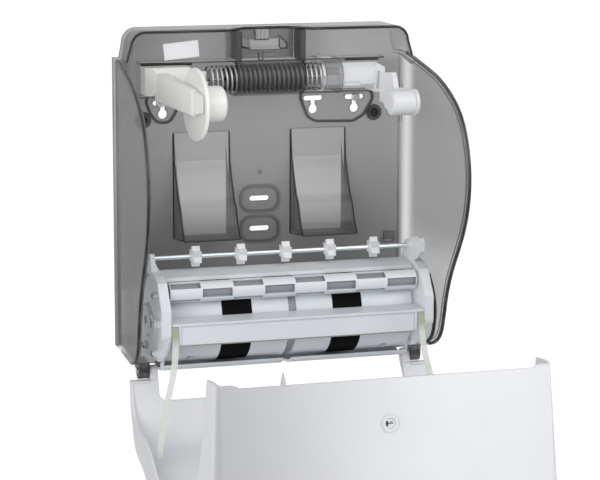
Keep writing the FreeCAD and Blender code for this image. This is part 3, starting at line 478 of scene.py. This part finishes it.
# %% [markdown]
# ## Finishes on the frame's own parts
# A part whose shape is right stays as it is and only gets its finish. One dictionary says
# which finish goes on which part. The parts that it leaves out get a new shape further down.

# %% dress the frame
DRESS = {
    smoke: "housing_shell",
    haze: "latch_catch",
    white: "side_plate_left side_plate_right guide_plate_top guide_plate_bottom "
           "cross_bar_front knife_carrier ratchet_wheel pawl crank shaft_bushes",
    roller: "pinch_roller",
    drum: "drum_half_front drum_half_rear",
    natural: "arm_slide_left hub_left hub_pin_left",
    bright: "arm_slide_right hub_right hub_pin_right star_wheels",
    frosted: "cover_shell strap_clips lock_ring lock_cylinder",
    rubber: "grip_bands",
    plug: "hole_plugs",
    steel: "roller_shaft drum_shaft knife_blade knife_rod pawl_pin spring_post hinge_pins",
    spring: "crank_spring",
    bright_steel: "star_shaft",
    zinc: "wall_screws mech_screws drum_screws lock_cam",
    paper: "label_sticker",
}
for finish, names in DRESS.items():
    for name in names.split():
        mesh = nodes[name].data
        mesh.materials.clear()
        mesh.materials.append(finish.material)
dressed = [name for names in DRESS.values() for name in names.split()]
print("still plain, replaced below:", sorted(set(nodes) - set(dressed)))

# %% [markdown]
# ## Beads
# A moulded rim is rounded, and in smoke plastic a rounded rim reads as a dark line that runs
# round the whole shape. It could be drawn into the finish, but a real bead catches the light as
# well. Each one is a curve with a round section that passes through every point. Smooth rims
# have automatic handles, and straight edges have handles that point at the next knot.


# %% bead helper
BEAD_RESOLUTION = 2


def placed(name, data, finish, body="housing"):
    """Put a piece into the scene, give it its finish and let it ride on a body."""
    data.materials.append(finish.material)
    piece = bpy.data.objects.new(name, data)
    bpy.context.collection.objects.link(piece)
    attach(piece, body)
    return piece


def bead(name, runs, radius, finish=rim, smooth=False):
    """Round bead along one or more runs of (x, depth, z) points."""
    line = bpy.data.curves.new(name, "CURVE")
    line.dimensions = "3D"
    line.bevel_depth = radius * MM
    line.bevel_resolution = BEAD_RESOLUTION
    line.use_fill_caps = True
    for points in runs:
        run = line.splines.new("BEZIER")
        run.bezier_points.add(len(points) - 1)
        for knot, place in zip(run.bezier_points, points):
            knot.co = at(*place)
            knot.handle_left_type = knot.handle_right_type = "AUTO" if smooth else "VECTOR"
    return placed(name, line, finish)


# %% rims of the housing
CHEEK_RIM = [(23, 296.6), (54, 290.6), (78, 285.6), (110.4, 277.2), (136.2, 265.9), (159, 251),
             (172.6, 234.4), (182.6, 211.6), (186.5, 190), (185.6, 167.3), (177.7, 140.6),
             (163.8, 114.6), (146.8, 87.6), (134.6, 60.3), (128.1, 36.4), (121, 18), (107.6, 6.8),
             (93, 1.4)]
CHEEK_AT_WALL = 154.7
CHEEK_FLARE = 0.0481
RIM_INSET = 1.7
for sign, name in ((-1, "rim_left"), (1, "rim_right")):
    run = [(sign * (CHEEK_AT_WALL + CHEEK_FLARE * d - RIM_INSET), d, z) for d, z in CHEEK_RIM]
    bead(name, [run], 1.75, smooth=True)
half_rim = [(150.4, 48.2, 297), (146.0, 48.2, 312), (145.1, 48.2, 317), (141.3, 48.2, 322.6),
            (136.2, 48.2, 325.8), (131.7, 48.2, 326.6), (44, 48.2, 326.6), (23, 24.6, 326.6)]
top_run = [(-x, d, z) for x, d, z in half_rim] + half_rim[::-1]
bead("rim_top", [top_run], 1.3)
print("rim points:", len(top_run))

# %% edges of the two ramps
RAMP_FRONT = [(5, 218.5), (8.2, 188), (15.2, 171), (24.2, 152), (31.2, 144), (40.2, 125),
              (48.8, 113.4)]
RAMP_WIDE = 59.5
for name, near in (("ramp_left", -92.5), ("ramp_right", 33.0)):
    far = near + RAMP_WIDE
    edges = [[(x, d, z) for d, z in RAMP_FRONT] for x in (near + 0.3, far - 0.3)]
    feet = [[(x, 4.2, 218), (x, 4.2, 108.5)] for x in (near, far)]
    bead(name + "_edges", edges + feet, 0.75)
    bead(name + "_lip", [[(near + 1, 49.0, 113.2), (far - 1, 49.0, 113.2)]], 0.8, smoke)
print("runs at a ramp:", len(edges + feet) + 1)

# %% latch pocket
bead("pocket_lines", [
    [(-24.2, 22.9, 307), (-24.2, 22.9, 318.4), (-15.2, 22.9, 306.4), (-23.5, 22.9, 307)],
    [(-24.2, 22.9, 306.6), (-15.2, 22.9, 304.7), (14.5, 22.9, 305.0), (23.4, 22.9, 304.9)],
    [(15.4, 22.9, 306), (15.4, 22.9, 318.2), (23.4, 22.9, 309.9), (23.4, 22.9, 304.9)],
    [(-11.3, 25.4, 324.6), (-11.3, 25.4, 314.8), (2.9, 25.4, 314.8)],
    [(-8.0, 27.5, 301.6), (-8.0, 27.5, 294), (-3.6, 27.5, 294), (-3.6, 27.5, 301.6)]], 0.6)
print("latch pocket lined")

# %% channel, spring tunnel, cross bar and right seal
# Painted shadow: the channel lines are dark strips where shade falls on the back panel above the
# arm heads.
bead("channel_shadow_lines", [
    [(-129, 18.4, 291.6), (-76, 18.4, 290.8)], [(88, 18.4, 291.2), (124, 18.4, 291.0)]], 1.3)
bead("tunnel_rims", [
    [(x, 50.2, 269), (x, 52, 276.5), (x, 50.2, 284), (x, 46, 290), (x, 40, 293.6)]
    for x in (-35.6, 35.6)], 0.9)
# The olive strip under the cross bar is a green-tinted edge that also stands in as painted shadow
# for the gap above the drum.
bead("strip_under_bar", [[(-120, 145, 28.3), (120, 145, 28.3)]], 0.75, olive)
SEAL = [(121.5, 81), (134.5, 66), (140.4, 52), (139.6, 36), (134.6, 22), (125.2, 13.4),
        (110.8, 6.4)]
SEAL_X = 145
bead("seal_right", [[(SEAL_X, d, z) for d, z in SEAL]], 1.9, black, smooth=True)
print("curves in the scene:", len(bpy.data.curves))

# %% [markdown]
# ## Straps and spring as tubes
# In the dispenser, two straps and a spring change their shape when a joint moves; here each is
# a closed tube through a row of sections, in place of the frame's own part.

# %% tubes through sections
def stretched(name, node, sections, finish, start, end, smooth):
    """Closed tube through sections, instead of a node."""
    tube = bmesh.new()
    rings = [[tube.verts.new(point) for point in section] for section in sections]
    for one, two in zip(rings, rings[1:]):
        for corners in zip(one, one[1:] + one[:1], two[1:] + two[:1], two):
            tube.faces.new(corners).smooth = smooth
    tube.faces.new(rings[0])
    tube.faces.new(rings[-1])
    bmesh.ops.recalc_face_normals(tube, faces=tube.faces)
    mesh = mesh_from(tube, name)
    mesh.materials.append(finish.material)
    piece = bpy.data.objects.new(name, mesh)
    bpy.context.collection.objects.link(piece)
    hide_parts(node)
    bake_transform(piece)
    return piece


def smooth_line(knots, steps):
    """Points on a curve that passes through every knot."""
    knots = [Vector(k) for k in knots]
    knots = [2 * knots[0] - knots[1], *knots, 2 * knots[-1] - knots[-2]]
    line = []
    for before, here, there, after in zip(knots, knots[1:], knots[2:], knots[3:]):
        for n in range(steps):
            t = n / steps
            line.append(0.5 * (2 * here + (there - before) * t
                               + (2 * before - 5 * here + 4 * there - after) * t ** 2
                               + (3 * here - before - 3 * there + after) * t ** 3))
    return line + [knots[-2]]


# %% [markdown]
# ## Check straps
# Each strap hangs from the end of the cross bar and is clipped into the cover. It is a flat band
# with soft edges, laid along a smooth line through a few knots.

# %% straps
STRAP_KNOTS = [(127.3, 147.0, 48.2), (127.6, 150.6, 28.0), (130.4, 153.4, 5.8),
               (136.6, 156.4, -19.5), (144.4, 161.6, -54.0), (149.2, 168.0, -77.0)]
STRAP_SECTION = [(-3.2, 0.35), (-2.9, 0.0), (2.9, 0.0), (3.2, 0.35),
                 (3.2, 0.85), (2.9, 1.2), (-2.9, 1.2), (-3.2, 0.85)]
STRAP_STEPS = 10
for sign, name in ((-1, "strap_left"), (1, "strap_right")):
    sections = [[at(sign * x + across, depth + out, z) for across, out in STRAP_SECTION]
                for x, depth, z in smooth_line(STRAP_KNOTS, STRAP_STEPS)]
    stretched(name + "_band", name, sections, clear,
              at(sign * 127.3, 147, 44), at(sign * 148.6, 167, -73), False)
print("sections in a strap:", len(sections))

# %% [markdown]
# ## The arm spring in two halves
# The spring sits between the stops at the far ends of the two bars: pulling an arm outwards
# pushes the opposite end of the spring in. The middle of the coil stays still, so the coil is
# made in two halves that meet there.

# %% spring halves
SPRING_AXIS = (34.0, 276.5)
SPRING_R = 13.4
SPRING_WIRE = 1.1
SPRING_ENDS = (-66.0 + SPRING_WIRE, 55.4 - SPRING_WIRE)
SPRING_MIDDLE = sum(SPRING_ENDS) / 2
SPRING_TURNS = 24
STEPS_A_TURN = 36
SPRING_SIDES = 12


def coil_section(step):
    """Ring of points round the wire, after a number of steps from the left end."""
    angle = math.tau * step / STEPS_A_TURN
    done = step / (SPRING_TURNS * STEPS_A_TURN)
    x = SPRING_ENDS[0] + done * (SPRING_ENDS[1] - SPRING_ENDS[0])
    points = []
    for n in range(SPRING_SIDES):
        around = math.tau * n / SPRING_SIDES
        r = SPRING_R + SPRING_WIRE * math.cos(around)
        points.append(at(x + SPRING_WIRE * math.sin(around), SPRING_AXIS[0] - r * math.sin(angle),
                         SPRING_AXIS[1] - r * math.cos(angle)))
    return points


half_steps = SPRING_TURNS * STEPS_A_TURN // 2
HALVES = [("arm_spring_left", 0, SPRING_ENDS[0], "arm_right"),
          ("arm_spring_right", half_steps, SPRING_ENDS[1], "arm_left")]
for name, first, end_x, stop_body in HALVES:
    sections = [coil_section(first + step) for step in range(half_steps + 1)]
    half = stretched(name, "arm_spring", sections, spring,
                     at(SPRING_MIDDLE, *SPRING_AXIS), at(end_x, *SPRING_AXIS), True)
print("faces in half a spring:", len(half.data.polygons))

# %% [markdown]
# ## Where the left arm meets its disc
# The arm thins out behind the disc. A small wedge, the hull round two rectangles with its edges
# taken off, carries the arm's side on towards the rim of the disc.

# %% end of the left arm
WEDGE_ENDS = [(114, -102.9, -97.6, 250.9, 276.8), (137, -95.6, -94.3, 255, 272)]
WEDGE_EDGE = 0.5
wedge = bmesh.new()
for depth, x0, x1, z0, z1 in WEDGE_ENDS:
    for x in (x0, x1):
        for z in (z0, z1):
            wedge.verts.new(at(x, depth, z))
bmesh.ops.convex_hull(wedge, input=wedge.verts)
bmesh.ops.bevel(wedge, geom=list(wedge.edges), offset=WEDGE_EDGE * MM, segments=3,
                affect="EDGES", clamp_overlap=True)
bmesh.ops.recalc_face_normals(wedge, faces=wedge.faces)
wedge_mesh = mesh_from(wedge, "arm_left_end")
placed("arm_left_end", wedge_mesh, natural, "arm_left")
print("faces of the wedge:", len(wedge_mesh.polygons))

# %% [markdown]
# ## A sleeve inside the spring
# A dark sleeve keeps the coils off the two bars. Its section, a small rectangle with its corners
# taken off, is drawn once and spun round the axis of the spring.

# %% spring sleeve
SLEEVE_X = (-46, 36.4)
SLEEVE_R = (10.6, 11.9)
CHAMFER = 0.4
SLEEVE_STEPS = 48
ring = bmesh.new()
near, far = SLEEVE_X
bore, outer = SLEEVE_R
section = [(near, bore), (near, outer - CHAMFER), (near + CHAMFER, outer),
           (far - CHAMFER, outer), (far, outer - CHAMFER), (far, bore)]
knots = [ring.verts.new((x, 0, r)) for x, r in section]
edges = [ring.edges.new(pair) for pair in zip(knots, knots[1:] + knots[:1])]
bmesh.ops.spin(ring, geom=knots + edges, cent=(0, 0, 0), axis=(1, 0, 0), angle=math.tau,
               steps=SLEEVE_STEPS, use_merge=True)
bmesh.ops.remove_doubles(ring, verts=ring.verts, dist=0.001)
bmesh.ops.recalc_face_normals(ring, faces=ring.faces)
bmesh.ops.scale(ring, vec=(MM, MM, MM), verts=ring.verts)
bmesh.ops.translate(ring, vec=at(0, *SPRING_AXIS), verts=ring.verts)
for face in ring.faces:
    face.smooth = True
sleeve_mesh = mesh_from(ring, "spring_sleeve")
placed("spring_sleeve", sleeve_mesh, black)
print("faces of the sleeve:", len(sleeve_mesh.polygons))

# %% [markdown]
# ## The mark on the lock
# The lock is a plain round insert. A square keyhole with a short tick beside it lies on its
# face, which leans a little, so the two tiles are made flat and then turned as one.

# %% lock mark
LOCK_FACE = (0, 419.9, 12.0)
LOCK_LEAN = math.radians(8.4)
TILES = [(-6.9, -2.1, -2.5, 2.5), (-0.6, 2.4, 1.0, 1.9)]
TILE_THICK = 0.5
tiles = bmesh.new()
for x0, x1, z0, z1 in TILES:
    made = bmesh.ops.create_cube(tiles, size=1)
    bmesh.ops.scale(tiles, vec=(x1 - x0, TILE_THICK, z1 - z0), verts=made["verts"])
    bmesh.ops.translate(tiles, vec=((x0 + x1) / 2, 0, (z0 + z1) / 2), verts=made["verts"])
bmesh.ops.bevel(tiles, geom=list(tiles.edges), offset=0.15, segments=2, affect="EDGES")
bmesh.ops.rotate(tiles, cent=(0, 0, 0), matrix=Matrix.Rotation(-LOCK_LEAN, 3, "X"),
                 verts=tiles.verts)
bmesh.ops.scale(tiles, vec=(MM, MM, MM), verts=tiles.verts)
bmesh.ops.translate(tiles, vec=at(*LOCK_FACE), verts=tiles.verts)
placed("lock_mark", mesh_from(tiles, "lock_mark"), black, "cover")
print("tiles on the lock:", len(TILES))

# %% [markdown]
# ## Room and light
# The dispenser is shown against white. The floor and the sky are white to the camera, and the
# lamps stay at a level at which a colour looks as it is written. A big soft lamp from the upper
# right gives the mouldings their form, and a wider one from the left fills their shadows.


# %% lamps
AIM = Vector((0, -0.1, 0.1))


def area_lamp(name, place, size, power):
    """Square lamp that looks at the dispenser; place and size in metres, power in watts."""
    lamp = bpy.data.lights.new(name, "AREA")
    lamp.shape = "RECTANGLE"
    lamp.size = lamp.size_y = size
    lamp.energy = power
    stand = bpy.data.objects.new(name, lamp)
    stand.location = place
    stand.rotation_euler = (AIM - Vector(place)).to_track_quat("-Z", "Y").to_euler()
    bpy.context.collection.objects.link(stand)


area_lamp("key", (1.2, -1.5, 1.2), 1.2, 14)
area_lamp("fill", (-1.6, -2.0, 0.6), 1.6, 24)
print("lamps:", len(bpy.data.lights))

# %% sky
SKY_ON_THE_PART = 0.56
world = bpy.data.worlds.new("room")
bpy.context.scene.world = world
world.use_nodes = True
sky = world.node_tree
rays = sky.nodes.new("ShaderNodeLightPath")
seen = sky.nodes.new("ShaderNodeMath")
seen.operation = "MAXIMUM"
eye_or_glass = sky.nodes.new("ShaderNodeMath")
eye_or_glass.operation = "MAXIMUM"
sky.links.new(rays.outputs["Is Camera Ray"], eye_or_glass.inputs[0])
sky.links.new(rays.outputs["Is Transmission Ray"], eye_or_glass.inputs[1])
sky.links.new(eye_or_glass.outputs[0], seen.inputs[0])
sky.links.new(rays.outputs["Is Glossy Ray"], seen.inputs[1])
level = sky.nodes.new("ShaderNodeMapRange")
level.inputs["To Min"].default_value = SKY_ON_THE_PART
level.inputs["To Max"].default_value = 1.0
sky.links.new(seen.outputs[0], level.inputs["Value"])
sky.nodes["Background"].inputs["Color"].default_value = LIT
sky.links.new(level.outputs[0], sky.nodes["Background"].inputs["Strength"])
print("nodes in the sky:", len(sky.nodes))

# %% floor
FLOOR_HALF = 30
FLOOR_GAP = 0.03
base = bmesh.new()
bmesh.ops.create_grid(base, x_segments=1, y_segments=1, size=FLOOR_HALF)
bmesh.ops.translate(base, verts=base.verts, vec=(0, 0, cad_box[0].z - FLOOR_GAP))
ground = mesh_from(base, "floor")
floor = bpy.data.objects.new("floor", ground)
bpy.context.collection.objects.link(floor)
pale = Finish("floor", (0.9, 0.9, 0.9), 0.9)
eye = pale.node("ShaderNodeLightPath", None, None, "Is Camera Ray")
pale.set("Emission Color", LIT)
pale.set("Emission Strength", 0.5 * eye)
ground.materials.append(pale.material)
print("floor laid at height:", round(cad_box[0].z - FLOOR_GAP, 3))
